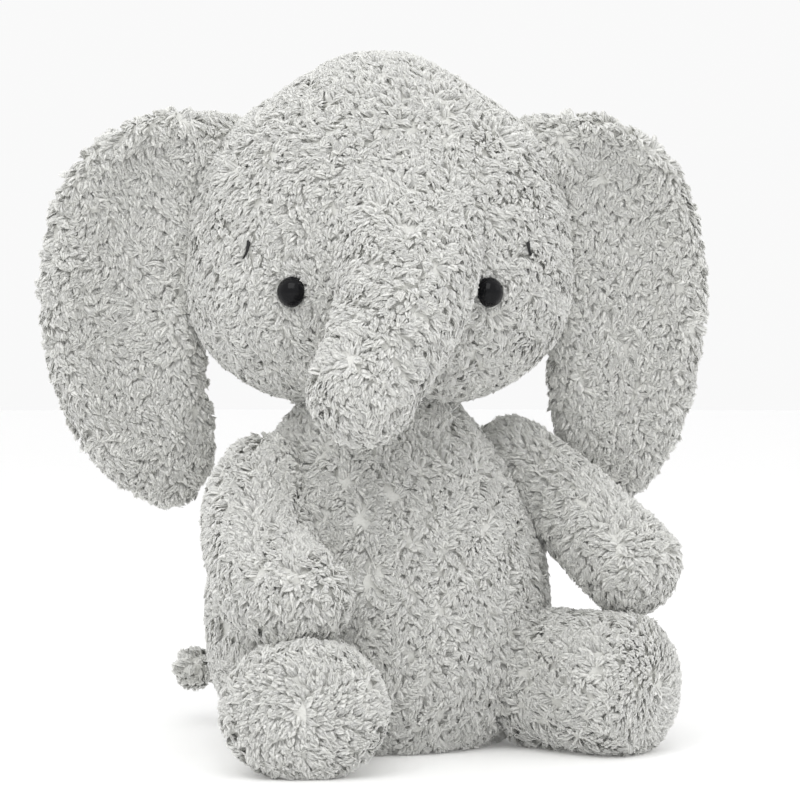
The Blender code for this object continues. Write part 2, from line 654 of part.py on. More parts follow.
def build_arm(root, side, sign, paw_offset, elbow_out):
    shoulder = Vector((sign * shoulder_out(), 0.0, SHOULDER_HEIGHT))
    hip, along, outward = leg_axes(sign)
    foot = hip + along * FOOT_CENTRE
    spacing = FOOT_HEIGHT / 2 + PAW_HEIGHT / 2 + PAW_ABOVE_FOOT
    rise = math.sqrt(max(spacing ** 2 - (paw_offset[0] * FOOT_HEIGHT / FOOT_WIDTH) ** 2, 0.0))
    paw = foot + outward * paw_offset[0] + along * paw_offset[1] + Vector((0.0, 0.0, rise))
    elbow = (shoulder + paw) / 2 + outward * elbow_out
    elbow.z -= elbow_out * ELBOW_SAG
    reach = (paw - elbow).normalized() * PAW_WIDTH * PAW_REACH
    upper_arm = (shoulder + elbow) / 2 + outward * elbow_out * UPPER_ARM_SHARE
    path = [shoulder, upper_arm, elbow, (elbow + paw) / 2, paw + reach]
    arm = pivot(f"{side}_arm_pivot", shoulder, root)
    thick = ARM_THICKNESS / 2
    root_radius = SHOULDER_THICKNESS / 2
    wide = ((0.0, root_radius), (0.35, thick), (0.8, PAW_WIDTH / 2), (1.0, PAW_WIDTH / 2))
    high = ((0.0, root_radius), (0.35, thick), (0.8, PAW_HEIGHT / 2), (1.0, PAW_HEIGHT / 2))
    form = tube(path, wide, high, LIMB_COLUMNS, ARM_ROOT_DOME, PAW_DOME, 5,
                lambda point: outside_body(point, ROOT_GAP))
    last = len(form[1]) - 1
    half = LIMB_COLUMNS // 2
    panel(f"{side}_arm_top", form, (1, last), (0, half), plush(f"{side}_arm_top_plush", 0.63), arm)
    panel(f"{side}_arm_under", form, (1, last), (half, LIMB_COLUMNS),
          plush(f"{side}_arm_under_plush", 0.56), arm)
    form[0].free()

    depth = PLUSH + ARM_FILL_GAP
    inner_path = [path[0] + (path[1] - path[0]).normalized() * depth, *path[1:-1],
                  path[-1] - (path[-1] - path[-2]).normalized() * depth]
    inner_wide = [(share, size - depth) for share, size in wide]
    inner_high = [(share, size - depth) for share, size in high]
    inner = tube(inner_path, inner_wide, inner_high, LIMB_COLUMNS, ARM_ROOT_DOME - depth, PAW_DOME - depth, 5,
                 lambda point: outside_body(point, ROOT_GAP + depth))
    add_object(f"{side}_arm_stuffing", inner[0], filling_fibre(f"{side}_arm_fibre"), arm)


def build_tail(root):
    begin = BODY_DEPTH / 2 + ROOT_GAP
    path = [Vector((0.0, begin, TAIL_HEIGHT)),
            Vector((-0.22 * TAIL_SWEEP, begin + 0.72 * TAIL_BACK, TAIL_HEIGHT)),
            Vector((-0.62 * TAIL_SWEEP, begin + TAIL_BACK, TAIL_HEIGHT)),
            Vector((-TAIL_SWEEP, begin + 0.75 * TAIL_BACK, TAIL_HEIGHT))]
    tail = pivot("tail_pivot", (0.0, begin + TAIL_THICKNESS / 2, TAIL_HEIGHT), root)
    wide = ((0.0, TAIL_THICKNESS / 2), (0.6, TAIL_THICKNESS / 2), (0.85, TAIL_TUFT / 2), (1.0, TAIL_TUFT / 2))
    form = tube(path, wide, wide, TAIL_COLUMNS, TAIL_THICKNESS / 2, TAIL_TUFT / 2, 4)
    last = len(form[1]) - 1
    panel("tail_cover", form, (1, last), (0, TAIL_COLUMNS), plush("tail_plush", 0.58), tail)
    filling("tail_cord", form, filling_fibre("tail_fibre"), tail)
    form[0].free()


def build():
    for old in list(bpy.data.objects):
        bpy.data.objects.remove(old, do_unlink=True)
    root = pivot("body_frame", (0.0, 0.0, 0.0))
    build_body(root)
    head = build_head(root)
    build_trunk(head)
    for side, sign in SIDES:
        build_ear(head, side, sign)
        build_leg(root, side, sign)
    build_arm(root, "left", 1.0, LEFT_PAW, LEFT_ELBOW_OUT)
    build_arm(root, "right", -1.0, RIGHT_PAW, RIGHT_ELBOW_OUT)
    build_tail(root)
    bpy.context.view_layer.update()


build()
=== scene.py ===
import json
import math

import bmesh
import bpy
import numpy as np
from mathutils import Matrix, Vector
from mathutils.bvhtree import BVHTree


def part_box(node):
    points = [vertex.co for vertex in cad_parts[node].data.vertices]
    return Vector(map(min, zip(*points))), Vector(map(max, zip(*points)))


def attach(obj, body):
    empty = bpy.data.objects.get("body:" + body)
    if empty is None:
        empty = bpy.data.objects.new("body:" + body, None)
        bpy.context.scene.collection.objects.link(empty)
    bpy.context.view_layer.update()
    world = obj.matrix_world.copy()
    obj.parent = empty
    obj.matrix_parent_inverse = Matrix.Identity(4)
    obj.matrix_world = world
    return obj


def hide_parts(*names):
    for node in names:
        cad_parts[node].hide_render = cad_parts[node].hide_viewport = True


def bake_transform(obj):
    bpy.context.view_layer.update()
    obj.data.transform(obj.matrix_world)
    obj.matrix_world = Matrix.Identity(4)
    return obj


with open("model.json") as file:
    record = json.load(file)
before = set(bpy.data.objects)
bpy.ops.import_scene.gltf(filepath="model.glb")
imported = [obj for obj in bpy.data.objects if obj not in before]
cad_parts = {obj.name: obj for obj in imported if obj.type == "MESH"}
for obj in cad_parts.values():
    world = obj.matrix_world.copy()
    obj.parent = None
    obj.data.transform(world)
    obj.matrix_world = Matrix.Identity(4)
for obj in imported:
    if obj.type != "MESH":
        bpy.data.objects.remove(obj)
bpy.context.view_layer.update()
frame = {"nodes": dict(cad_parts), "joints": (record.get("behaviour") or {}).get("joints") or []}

# ---------------------------------------------------------------- the set: floor, lights and camera
# A white sweep in an even white room, with a large soft box above and in front and a weak one at
# the elephant's left. The camera looks slightly down from in front of the right knee.

scene = bpy.context.scene
scene.view_settings.view_transform = "Standard"
scene.view_settings.look = "None"

joints = {joint["name"]: joint for joint in frame["joints"]}
UP = Vector((0.0, 0.0, 1.0))


def plain_material(name, colour, roughness):
    """A Principled material of one colour, and its shader."""
    made = bpy.data.materials.new(name)
    made.use_nodes = True
    shader = made.node_tree.nodes["Principled BSDF"]
    shader.inputs["Base Color"].default_value = (*colour, 1.0)
    shader.inputs["Roughness"].default_value = roughness
    return made, shader


def shown_piece(name, form, surface):
    """Makes an object of one finish from a finished form."""
    mesh = bpy.data.meshes.new(name)
    form.to_mesh(mesh)
    form.free()
    mesh.materials.append(surface)
    made = bpy.data.objects.new(name, mesh)
    scene.collection.objects.link(made)
    return made


def light_panel(name, place, aim, size, power):
    """A square soft box that faces a point."""
    lamp = bpy.data.lights.new(name, "AREA")
    lamp.size = size
    lamp.energy = power
    made = bpy.data.objects.new(name, lamp)
    scene.collection.objects.link(made)
    made.location = place
    made.rotation_euler = (Vector(aim) - Vector(place)).to_track_quat("-Z", "Y").to_euler()
    return made


FLOOR_RADIUS = 6.0
sweep = bmesh.new()
corners = [sweep.verts.new((0.0, 0.0, 0.0)), sweep.verts.new((FLOOR_RADIUS, 0.0, 0.0))]
edge = sweep.edges.new(corners)
bmesh.ops.spin(sweep, geom=[*corners, edge], axis=(0, 0, 1), cent=(0, 0, 0), angle=2 * math.pi, steps=48)
bmesh.ops.remove_doubles(sweep, verts=sweep.verts, dist=1e-5)
floor_paint, floor_shader = plain_material("white_floor", (0.94, 0.94, 0.94), 0.7)
floor_shader.inputs["Emission Color"].default_value = (1.0, 1.0, 1.0, 1.0)
floor_shader.inputs["Emission Strength"].default_value = 0.08
floor = shown_piece("floor", sweep, floor_paint)

world = bpy.data.worlds.new("studio")
world.use_nodes = True
world.node_tree.nodes["Background"].inputs["Color"].default_value = (1.0, 1.0, 1.0, 1.0)
world.node_tree.nodes["Background"].inputs["Strength"].default_value = 0.95
scene.world = world

middle = Vector((0.0, 0.0, 0.14))
light_panel("key_box", (-0.70, -0.9, 1.45), middle, 1.3, 12.0)
light_panel("side_box", (1.2, -1.0, 0.9), middle, 0.8, 1.0)

camera_turn = math.radians(-27.0)
camera_distance = 1.2
camera_height = 0.167
camera_aside = 0.009        # to its right of the line through the body's middle
camera_tilt = math.radians(1.14)
towards = Vector((-math.sin(camera_turn), math.cos(camera_turn), 0.0))
rightward = Vector((math.cos(camera_turn), math.sin(camera_turn), 0.0))
lens = bpy.data.cameras.new("camera")
lens.lens = 128.6
lens.sensor_width = 36.0
lens.clip_start = 0.05
camera = bpy.data.objects.new("camera", lens)
scene.collection.objects.link(camera)
camera.location = rightward * camera_aside - towards * camera_distance + UP * camera_height
camera.rotation_euler = (math.radians(90.0) - camera_tilt, 0.0, camera_turn)
scene.camera = camera

# ---------------------------------------------------------------- the body
# A pear of knitted backing cloth, sewn from two belly pieces, a back and a round seat, and
# stuffed with fibre over a bag of beans. Its pile is a thick coat of short locks that lie over.


def reach(nodes, direction, origin=Vector()):
    """The least and most that some CAD nodes stretch along a direction from a point."""
    found = []
    for node in nodes:
        found += [(vertex.co - origin).dot(direction) for vertex in frame["nodes"][node].data.vertices]
    return min(found), max(found)


def ease(points, at):
    """The height of a smooth curve through (place, height) points."""
    places, heights = zip(*points)
    slopes = np.gradient(np.array(heights, float), np.array(places, float))
    index = int(np.clip(np.searchsorted(places, at) - 1, 0, len(points) - 2))
    span = places[index + 1] - places[index]
    t = min(max((at - places[index]) / span, 0.0), 1.0)
    rise = (2 * t ** 3 - 3 * t ** 2 + 1) * heights[index] + (3 * t ** 2 - 2 * t ** 3) * heights[index + 1]
    lean = (t ** 3 - 2 * t ** 2 + t) * slopes[index] + (t ** 3 - t ** 2) * slopes[index + 1]
    return float(rise + lean * span)


def ring_form(rings):
    """A closed mesh through rings of points, each end closed to its ring's middle."""
    mesh = bmesh.new()
    rows = [[mesh.verts.new(point) for point in ring] for ring in rings]
    count = len(rows[0])
    for near, far in zip(rows, rows[1:]):
        for step in range(count):
            mesh.faces.new([near[step], near[(step + 1) % count], far[(step + 1) % count], far[step]])
    mesh.faces.new(list(reversed(rows[0])))
    mesh.faces.new(rows[-1])
    bmesh.ops.recalc_face_normals(mesh, faces=mesh.faces)
    return mesh


def stuffed_tube(path, wide, high, ends):
    """A limb along a path: half sizes as (share of length, size), rounded over a share at each end."""
    rings, around = 18, 24
    shares = [index / (len(path) - 1) for index in range(len(path))]
    tracks = [list(zip(shares, (point[axis] for point in path))) for axis in range(3)]
    found = []
    for ring in range(rings + 1):
        share = 0.5 - math.cos(math.pi * ring / rings) / 2
        place = Vector([ease(track, share) for track in tracks])
        ahead = Vector([ease(track, min(share + 0.02, 1.0)) for track in tracks])
        behind = Vector([ease(track, max(share - 0.02, 0.0)) for track in tracks])
        along = (ahead - behind).normalized()
        side = along.cross(UP).normalized()
        rise = side.cross(along)
        near = min(share / ends[0], 1.0)
        far = min((1.0 - share) / ends[1], 1.0)
        round_off = math.sqrt(max(1.0 - (1.0 - near) ** 2, 0.0)) * math.sqrt(max(1.0 - (1.0 - far) ** 2, 0.0))
        round_off = max(round_off, 0.02)
        width = ease(wide, share) * round_off
        height = ease(high, share) * round_off
        turns = [2 * math.pi * step / around for step in range(around)]
        found.append([place + side * width * math.cos(a) + rise * height * math.sin(a) for a in turns])
    return ring_form(found)


def ball(centre, radii, axes=(Vector((1, 0, 0)), Vector((0, 1, 0)), UP)):
    """A closed ellipsoid along three axes."""
    mesh = bmesh.new()
    bmesh.ops.create_uvsphere(mesh, u_segments=32, v_segments=20, radius=1.0)
    for vertex in mesh.verts:
        at = vertex.co.copy()
        vertex.co = centre + axes[0] * at.x * radii[0] + axes[1] * at.y * radii[1] + axes[2] * at.z * radii[2]
    return mesh


def node_copy(node):
    """A CAD node's own shape, to start a soft form from."""
    mesh = bmesh.new()
    mesh.from_mesh(frame["nodes"][node].data)
    bmesh.ops.remove_doubles(mesh, verts=mesh.verts, dist=1e-6)
    return mesh


SKIN_SWELL = 0.0015         # how far smoothing is made up for, outwards


def melt(name, forms, rounds, voxel=0.003):
    """One smooth closed skin round some closed forms that overlap."""
    joined = bpy.data.meshes.new(name)
    gathered = bmesh.new()
    for form in forms:
        held = bpy.data.meshes.new("held")
        form.to_mesh(held)
        form.free()
        gathered.from_mesh(held)
        bpy.data.meshes.remove(held)
    gathered.to_mesh(joined)
    gathered.free()
    made = bpy.data.objects.new(name, joined)
    scene.collection.objects.link(made)
    remesh = made.modifiers.new("Remesh", "REMESH")
    remesh.mode = "VOXEL"
    remesh.voxel_size = voxel
    smooth = made.modifiers.new("Smooth", "SMOOTH")
    smooth.factor = 0.5
    smooth.iterations = rounds
    bake_modifiers(made)
    set_points(made.data, points_of(made.data) + normals_of(made.data) * SKIN_SWELL)
    return made


def bake_modifiers(piece):
    """Replaces a piece's mesh by what its modifiers make of it."""
    bpy.context.view_layer.update()
    finished = bpy.data.meshes.new_from_object(piece.evaluated_get(bpy.context.evaluated_depsgraph_get()))
    piece.modifiers.clear()
    old = piece.data
    piece.data = finished
    finished.name = piece.name
    bpy.data.meshes.remove(old)


def points_of(mesh):
    found = np.empty(len(mesh.vertices) * 3, np.float64)
    mesh.vertices.foreach_get("co", found)
    return found.reshape(-1, 3)


def normals_of(mesh):
    found = np.empty(len(mesh.vertices) * 3)
    mesh.vertices.foreach_get("normal", found)
    return found.reshape(-1, 3)


def set_points(mesh, places):
    mesh.vertices.foreach_set("co", places.astype(np.float32).ravel())
    mesh.update()


CLOTH_STEPS = 14


def plump(piece, most):
    """Blows the sewn skin up a little with cloth simulation, so that it swells as stuffing makes it."""
    before = points_of(piece.data)
    cloth = piece.modifiers.new("Cloth", "CLOTH")
    cloth.settings.quality = 4
    cloth.settings.mass = 0.3
    cloth.settings.tension_stiffness = 25.0
    cloth.settings.compression_stiffness = 25.0
    cloth.settings.bending_stiffness = 0.6
    cloth.settings.use_pressure = True
    cloth.settings.uniform_pressure_force = 3.0
    cloth.settings.effector_weights.gravity = 0.0
    cloth.collision_settings.use_collision = False
    for step in range(1, CLOTH_STEPS + 1):
        scene.frame_set(step)
    shown = piece.evaluated_get(bpy.context.evaluated_depsgraph_get())
    after = points_of(shown.data)
    piece.modifiers.clear()
    scene.frame_set(1)
    move = after - before
    move -= move.mean(axis=0)
    far = np.linalg.norm(move, axis=1, keepdims=True)
    set_points(piece.data, before + move * np.minimum(1.0, most / np.maximum(far, 1e-9)))


def rest_on_floor(piece, height=0.0006):
    """Flattens what would sink into the floor."""
    places = points_of(piece.data)
    places[:, 2] = np.maximum(places[:, 2], height)
    set_points(piece.data, places)


def wave_field(places, wavelength, seed):
    """A smooth random vector at each place, from a few plane waves."""
    count = 7
    waves = np.random.default_rng(seed)
    total = np.zeros_like(places)
    for _ in range(count):
        heading = waves.normal(size=3)
        heading /= np.linalg.norm(heading)
        push = waves.normal(size=3)
        pitch = wavelength * waves.uniform(0.7, 1.4)
        phase = places @ heading * (2 * math.pi / pitch) + waves.uniform(0, 2 * math.pi)
        total += np.sin(phase)[:, None] * push
    return total / math.sqrt(count)


def roots_on(piece, spacing, seed):
    """Places and outward normals spread evenly over a skin, about one to each spacing."""
    throws = 5                  # for each place that is kept
    draw = np.random.default_rng(seed)
    mesh = piece.data
    mesh.calc_loop_triangles()
    places = points_of(mesh)
    normals = normals_of(mesh)
    cells = np.empty(len(mesh.loop_triangles) * 3, np.int32)
    mesh.loop_triangles.foreach_get("vertices", cells)
    cells = cells.reshape(-1, 3)
    a, b, c = places[cells[:, 0]], places[cells[:, 1]], places[cells[:, 2]]
    area = np.linalg.norm(np.cross(b - a, c - a), axis=1) / 2
    count = int(area.sum() / spacing ** 2 * throws)
    picked = draw.choice(len(cells), count, p=area / area.sum())
    u, v = draw.random(count), draw.random(count)
    over = u + v > 1
    u[over], v[over] = 1 - u[over], 1 - v[over]
    w = 1 - u - v
    at = a[picked] * w[:, None] + b[picked] * u[:, None] + c[picked] * v[:, None]
    up = (normals[cells[picked, 0]] * w[:, None] + normals[cells[picked, 1]] * u[:, None]
          + normals[cells[picked, 2]] * v[:, None])
    up /= np.linalg.norm(up, axis=1, keepdims=True)
    _, first = np.unique(np.floor(at / spacing).astype(np.int64), axis=0, return_index=True)
    first.sort()
    return at[first], up[first]


def unit(vectors):
    return vectors / np.maximum(np.linalg.norm(vectors, axis=1, keepdims=True), 1e-12)


PILE_SPACING = 0.0024       # between locks
PILE_LENGTH = 0.0058
PILE_LEAN = 2.2             # along the cloth, for each one outwards
PILE_TURN = 0.014           # the pile changes its way over about this far
FIBRES = 9                  # slivers in a lock
LOCK_SPREAD = 0.56          # of the spacing, from a lock's middle to its outer roots
TIP_GATHER = 0.42           # how much of that spread is left at the tips
TIP_STRAY = 0.00032
ROOT_DEPTH = 0.0010         # below the skin
FIBRE_WIDTH = 0.00068       # half of a sliver's width at its belly
ROOT_WIDTH = 0.8            # of that width
BELLY_SHARE = 0.62          # how far along a sliver its belly is
BELLY_BOW = 0.16            # of the lock's length, outwards
BELLY_RIDGE = 0.36          # of the sliver's width
ROOT_RIDGE = 0.3


def lie_of_pile(roots, normals):
    """Pile hangs down on upright cloth and lies back where the cloth faces up."""
    level = np.clip((normals[:, 2:] - 0.25) / 0.4, 0.0, 1.0)
    return np.array([0.0, 0.0, -1.0]) * (1.0 - level) + np.array([0.0, 1.0, 0.0]) * level


def pile(name, skin, seed, keep=None, comb=lie_of_pile, trim=None,
         length=PILE_LENGTH, lean=PILE_LEAN, curl=1.0):
    """A coat of locks on a skin: each lock is a few pointed slivers that lean and curl together."""
    draw = np.random.default_rng(seed)
    roots, normals = roots_on(skin, PILE_SPACING, seed)
    if keep is not None:
        chosen = keep(roots)
        roots, normals = roots[chosen], normals[chosen]
    swirl = wave_field(roots, PILE_TURN, seed + 1) * curl + draw.normal(size=roots.shape) * 0.45 * curl
    heading = comb(roots, normals) * 0.8 + swirl * 0.8
    heading -= normals * np.sum(heading * normals, axis=1, keepdims=True)
    heading = unit(heading)
    across = np.cross(normals, heading)
    tall = length * draw.uniform(0.8, 1.12, len(roots))[:, None]
    if trim is not None:
        tall = tall * trim(roots)[:, None]
    lie = lean * draw.uniform(0.8, 1.25, len(roots))[:, None]
    tips = roots + unit(normals + heading * lie) * tall

    count = len(roots)
    total = count * FIBRES

    def spread(values):
        return np.repeat(values, FIBRES, axis=0)

    turn = draw.uniform(0, 2 * math.pi, total)
    out = PILE_SPACING * LOCK_SPREAD * np.sqrt(draw.random(total))
    aside = (spread(heading) * np.cos(turn)[:, None] + spread(across) * np.sin(turn)[:, None]) * out[:, None]
    up = spread(normals)
    start = spread(roots) + aside - up * ROOT_DEPTH
    end = spread(tips) + aside * TIP_GATHER + draw.normal(size=start.shape) * TIP_STRAY
    middle = start + (end - start) * BELLY_SHARE + up * spread(tall) * BELLY_BOW + aside * TIP_GATHER
    facing = unit(up + spread(heading) * 0.3 + draw.normal(size=start.shape) * 0.15)
    flat = unit(np.cross(unit(end - start), facing))
    thick = unit(np.cross(flat, unit(end - start)))
    slim = FIBRE_WIDTH * draw.uniform(0.8, 1.25, total)[:, None]
    # A sliver's corners: three round its root, three round its belly, and its tip.
    corners = np.stack([
        start - flat * slim * ROOT_WIDTH, start + flat * slim * ROOT_WIDTH, start + thick * slim * ROOT_RIDGE,
        middle - flat * slim, middle + flat * slim, middle + thick * slim * BELLY_RIDGE,
        end], axis=1).reshape(-1, 3)
    sides = ((3, 4, 1, 0), (4, 5, 2, 1), (5, 3, 0, 2), (6, 4, 3), (6, 5, 4), (6, 3, 5))
    pattern = np.concatenate(sides)
    firsts = np.cumsum([0] + [len(side) for side in sides[:-1]])
    loops = (np.arange(total)[:, None] * 7 + pattern[None, :]).ravel()
    starts = (np.arange(total)[:, None] * len(pattern) + firsts[None, :]).ravel()
    mesh = bpy.data.meshes.new(name)
    mesh.vertices.add(len(corners))
    mesh.vertices.foreach_set("co", corners.astype(np.float32).ravel())
    mesh.loops.add(len(loops))
    mesh.loops.foreach_set("vertex_index", loops.astype(np.int32))
    mesh.polygons.add(len(starts))
    mesh.polygons.foreach_set("loop_start", starts.astype(np.int32))
    mesh.update(calc_edges=True)
    mesh.shade_flat()
    # Its colour is looked up by how far along it a place is, which paints shade darker towards the root, and
    # by its own tone.
    tone = np.clip(spread(draw.normal(0.5, 0.16, count)) + draw.normal(0, 0.08, total), 0.03, 0.97)
    along = np.array([0.05, 0.05, 0.05, 0.6, 0.6, 0.6, 0.95])
    beside = np.array([-0.006, 0.006, 0.0, -0.006, 0.006, 0.0, 0.0])
    u = np.broadcast_to(along[None, :], (total, 7))
    v = tone[:, None] + beside[None, :]
    uv = np.stack([u, v], axis=2).reshape(-1, 2)[loops]
    layer = mesh.uv_layers.new(name="OFBake")
    layer.data.foreach_set("uv", uv.astype(np.float32).ravel())
    made = bpy.data.objects.new(name, mesh)
    scene.collection.objects.link(made)
    return made


def effect_group(name, inputs, outputs):
    """An empty shader node group with named inputs and outputs."""
    group = bpy.data.node_groups.new(name, "ShaderNodeTree")
    for label, kind, value in inputs:
        socket = group.interface.new_socket(label, in_out="INPUT", socket_type=kind)
        socket.default_value = value
    for label, kind in outputs:
        group.interface.new_socket(label, in_out="OUTPUT", socket_type=kind)
    return group, group.nodes.new("NodeGroupInput"), group.nodes.new("NodeGroupOutput")


# The pile's colour: painted shade from a darker root to a lighter tip, times a tone that differs at random
# from lock to lock.
pile_tone_and_painted_shade, given, result = effect_group(
    "pile_tone_and_painted_shade",
    [("Painted_shade_root", "NodeSocketColor", (0.3, 0.3, 0.3, 1.0)), ("Tip", "NodeSocketColor", (0.7, 0.7, 0.7, 1.0)),
     ("Along", "NodeSocketVector", (0.0, 0.0, 0.0)), ("Variation", "NodeSocketFloat", 0.25)],
    [("Colour", "NodeSocketColor")])
split = pile_tone_and_painted_shade.nodes.new("ShaderNodeSeparateXYZ")
lengthwise = pile_tone_and_painted_shade.nodes.new("ShaderNodeMapRange")
lengthwise.inputs["From Min"].default_value = 0.05
lengthwise.inputs["From Max"].default_value = 0.75
tinted = pile_tone_and_painted_shade.nodes.new("ShaderNodeMix")
tinted.data_type = "RGBA"
shade = pile_tone_and_painted_shade.nodes.new("ShaderNodeMath")
shade.operation = "MULTIPLY_ADD"
centred = pile_tone_and_painted_shade.nodes.new("ShaderNodeMath")
centred.operation = "SUBTRACT"
centred.inputs[1].default_value = 0.5
shade.inputs[2].default_value = 1.0
brightened = pile_tone_and_painted_shade.nodes.new("ShaderNodeVectorMath")
brightened.operation = "SCALE"
wire = pile_tone_and_painted_shade.links.new
wire(given.outputs["Along"], split.inputs[0])
wire(split.outputs["X"], lengthwise.inputs["Value"])
wire(lengthwise.outputs["Result"], tinted.inputs["Factor"])
wire(given.outputs["Painted_shade_root"], tinted.inputs["A"])
wire(given.outputs["Tip"], tinted.inputs["B"])
wire(split.outputs["Y"], centred.inputs[0])
wire(centred.outputs[0], shade.inputs[0])
wire(given.outputs["Variation"], shade.inputs[1])
wire(tinted.outputs["Result"], brightened.inputs[0])
wire(shade.outputs[0], brightened.inputs["Scale"])
wire(brightened.outputs[0], result.inputs["Colour"])


def pile_material(name, root, tip, variation=0.14):
    """Polyester pile with painted shade: darker down between the locks and lighter at the tips."""
    made, shader = plain_material(name, tip, 0.9)
    shader.inputs["Sheen Weight"].default_value = 0.35
    shader.inputs["Sheen Roughness"].default_value = 0.6
    shader.inputs["Specular IOR Level"].default_value = 0.1
    shader.inputs["Subsurface Weight"].default_value = 0.7
    shader.inputs["Subsurface Radius"].default_value = (1.0, 1.0, 1.0)
    shader.inputs["Subsurface Scale"].default_value = 0.0014
    tree = made.node_tree
    place = tree.nodes.new("ShaderNodeUVMap")
    place.uv_map = "OFBake"
    colour = tree.nodes.new("ShaderNodeGroup")
    colour.node_tree = pile_tone_and_painted_shade
    colour.inputs["Painted_shade_root"].default_value = (*root, 1.0)
    colour.inputs["Tip"].default_value = (*tip, 1.0)
    colour.inputs["Variation"].default_value = variation
    tree.links.new(place.outputs["UV"], colour.inputs["Along"])
    tree.links.new(colour.outputs["Colour"], shader.inputs["Base Color"])
    return made


GREY_TIP = (0.81, 0.81, 0.772)
# The root colour is painted shade, a little darker than the tips.
GREY_ROOT_PAINTED_SHADE = (0.79, 0.79, 0.755)
grey_pile = pile_material("grey_pile", GREY_ROOT_PAINTED_SHADE, GREY_TIP)


fine_grain, given, result = effect_group(
    "fine_grain",
    [("Scale", "NodeSocketFloat", 900.0), ("Low", "NodeSocketFloat", 0.0), ("High", "NodeSocketFloat", 1.0)],
    [("Mask", "NodeSocketFloat"), ("Level", "NodeSocketFloat")])
own_place = fine_grain.nodes.new("ShaderNodeTexCoord")
grains = fine_grain.nodes.new("ShaderNodeTexNoise")
grain_range = fine_grain.nodes.new("ShaderNodeMapRange")
wire = fine_grain.links.new
wire(own_place.outputs["Object"], grains.inputs["Vector"])
wire(given.outputs["Scale"], grains.inputs["Scale"])
wire(grains.outputs["Fac"], grain_range.inputs["Value"])
wire(given.outputs["Low"], grain_range.inputs["To Min"])
wire(given.outputs["High"], grain_range.inputs["To Max"])
wire(grains.outputs["Fac"], result.inputs["Mask"])
wire(grain_range.outputs["Result"], result.inputs["Level"])


def add_grain(material, scale, depth=0.0, strength=1.0, low=0.0, high=1.0):
    """Places the grain in a material, as a bump of that depth where there is one."""
    tree = material.node_tree
    grain = tree.nodes.new("ShaderNodeGroup")
    grain.node_tree = fine_grain
    for label, value in (("Scale", scale), ("Low", low), ("High", high)):
        grain.inputs[label].default_value = value
    if depth:
        bump = tree.nodes.new("ShaderNodeBump")
        bump.inputs["Strength"].default_value = strength
        bump.inputs["Distance"].default_value = depth
        tree.links.new(grain.outputs["Mask"], bump.inputs["Height"])
        tree.links.new(bump.outputs["Normal"], tree.nodes["Principled BSDF"].inputs["Normal"])
    return grain


def backing_material(name, colour):
    """The knitted cloth that the pile grows from: fine rows of loops."""
    made, shader = plain_material(name, colour, 0.95)
    shader.inputs["Specular IOR Level"].default_value = 0.2
    tree = made.node_tree
    loops = add_grain(made, 900.0, depth=0.0004, strength=0.5, low=0.8, high=1.1)
    tinted = tree.nodes.new("ShaderNodeVectorMath")
    tinted.operation = "SCALE"
    tinted.inputs[0].default_value = colour
    tree.links.new(loops.outputs["Level"], tinted.inputs["Scale"])
    tree.links.new(tinted.outputs[0], shader.inputs["Base Color"])
    return made


# The knitted backing is real, but its grey is darker than the pile: painted shade where it shows down between
# the locks.
grey_backing_painted_shade = backing_material("grey_backing_painted_shade", (0.71, 0.71, 0.682))


def finish_skin(piece, fill, *nodes):
    """Gives a stuffed skin its cloth and hides the CAD filling it stands for."""
    piece.data.shade_smooth()
    piece.data.materials.clear()
    piece.data.materials.append(grey_backing_painted_shade)
    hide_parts(*nodes)


def finish_pile(piece, *nodes):
    """Gives a coat of pile its colour and hides the CAD panels it stands for."""
    rest_on_floor(piece, 0.0)
    piece.data.materials.append(grey_pile)
    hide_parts(*nodes)


back_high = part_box("back_panel")[1]
PILE_ROOM = 0.003           # between the skin and the outside of the plush
body_half_width = back_high.x - PILE_ROOM
body_half_depth = back_high.y - PILE_ROOM
body_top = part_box("belly_left")[1].z
PEAR = ((0.0, 0.70), (0.07, 0.83), (0.20, 0.95), (0.42, 0.99), (0.60, 0.93), (0.78, 0.76), (0.92, 0.55),
        (1.0, 0.42))        # share of the height, share of the half width
NECK_SIZE = 0.36            # of the body's width
NECK_RISE = 0.006           # into the head
pear_rings = []
for ring in range(22):
    share = min(ring / 20, 1.0)
    size = ease(PEAR, share) if ring < 21 else NECK_SIZE
    level = 0.0015 + share * (body_top - 0.001) + (NECK_RISE if ring == 21 else 0.0)
    turns = [2 * math.pi * step / 40 for step in range(40)]
    pear_rings.append([Vector((math.sin(a) * body_half_width * size,
                               -math.cos(a) * body_half_depth * size, level)) for a in turns])
body_skin = melt("body_skin", [ring_form(pear_rings)], rounds=6)
plump(body_skin, 0.003)
rest_on_floor(body_skin)
finish_skin(body_skin, 0.85, "body_stuffing", "bean_bag")
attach(body_skin, "torso")


SEAT_LEVEL = 0.004


def on_belly(sign):
    """Picks the roots in front of the side seams, on one side of the middle."""
    return lambda roots: (roots[:, 1] < 0.0) & (roots[:, 0] * sign >= 0.0) & (roots[:, 2] > SEAT_LEVEL)


def on_back(roots):
    return (roots[:, 1] >= 0.0) & (roots[:, 2] > SEAT_LEVEL)


for side, sign in (("left", 1.0), ("right", -1.0)):
    belly = pile(f"belly_{side}_pile", body_skin, 21 if sign > 0 else 22, keep=on_belly(sign))
    finish_pile(belly, f"belly_{side}")
    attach(belly, "torso")
back_pile = pile("back_pile", body_skin, 23, keep=on_back)
finish_pile(back_pile, "back_panel")
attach(back_pile, "torso")
seat_pile = pile("seat_pile", body_skin, 24, keep=lambda roots: roots[:, 2] <= SEAT_LEVEL,
                 lean=6.0, length=0.004)
finish_pile(seat_pile, "seat_panel")
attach(seat_pile, "torso")

# ---------------------------------------------------------------- the legs
# Each leg is a short stuffed tube with a fat foot, closed by a round sole whose pile whirls
# out from its middle. The root is sewn into the side of the body.

LEG_HALF_HEIGHT = {"left": 0.0262, "right": 0.0240}
SOLE_DEPTH = 0.008          # of the foot's end that is covered by the sole's whirl

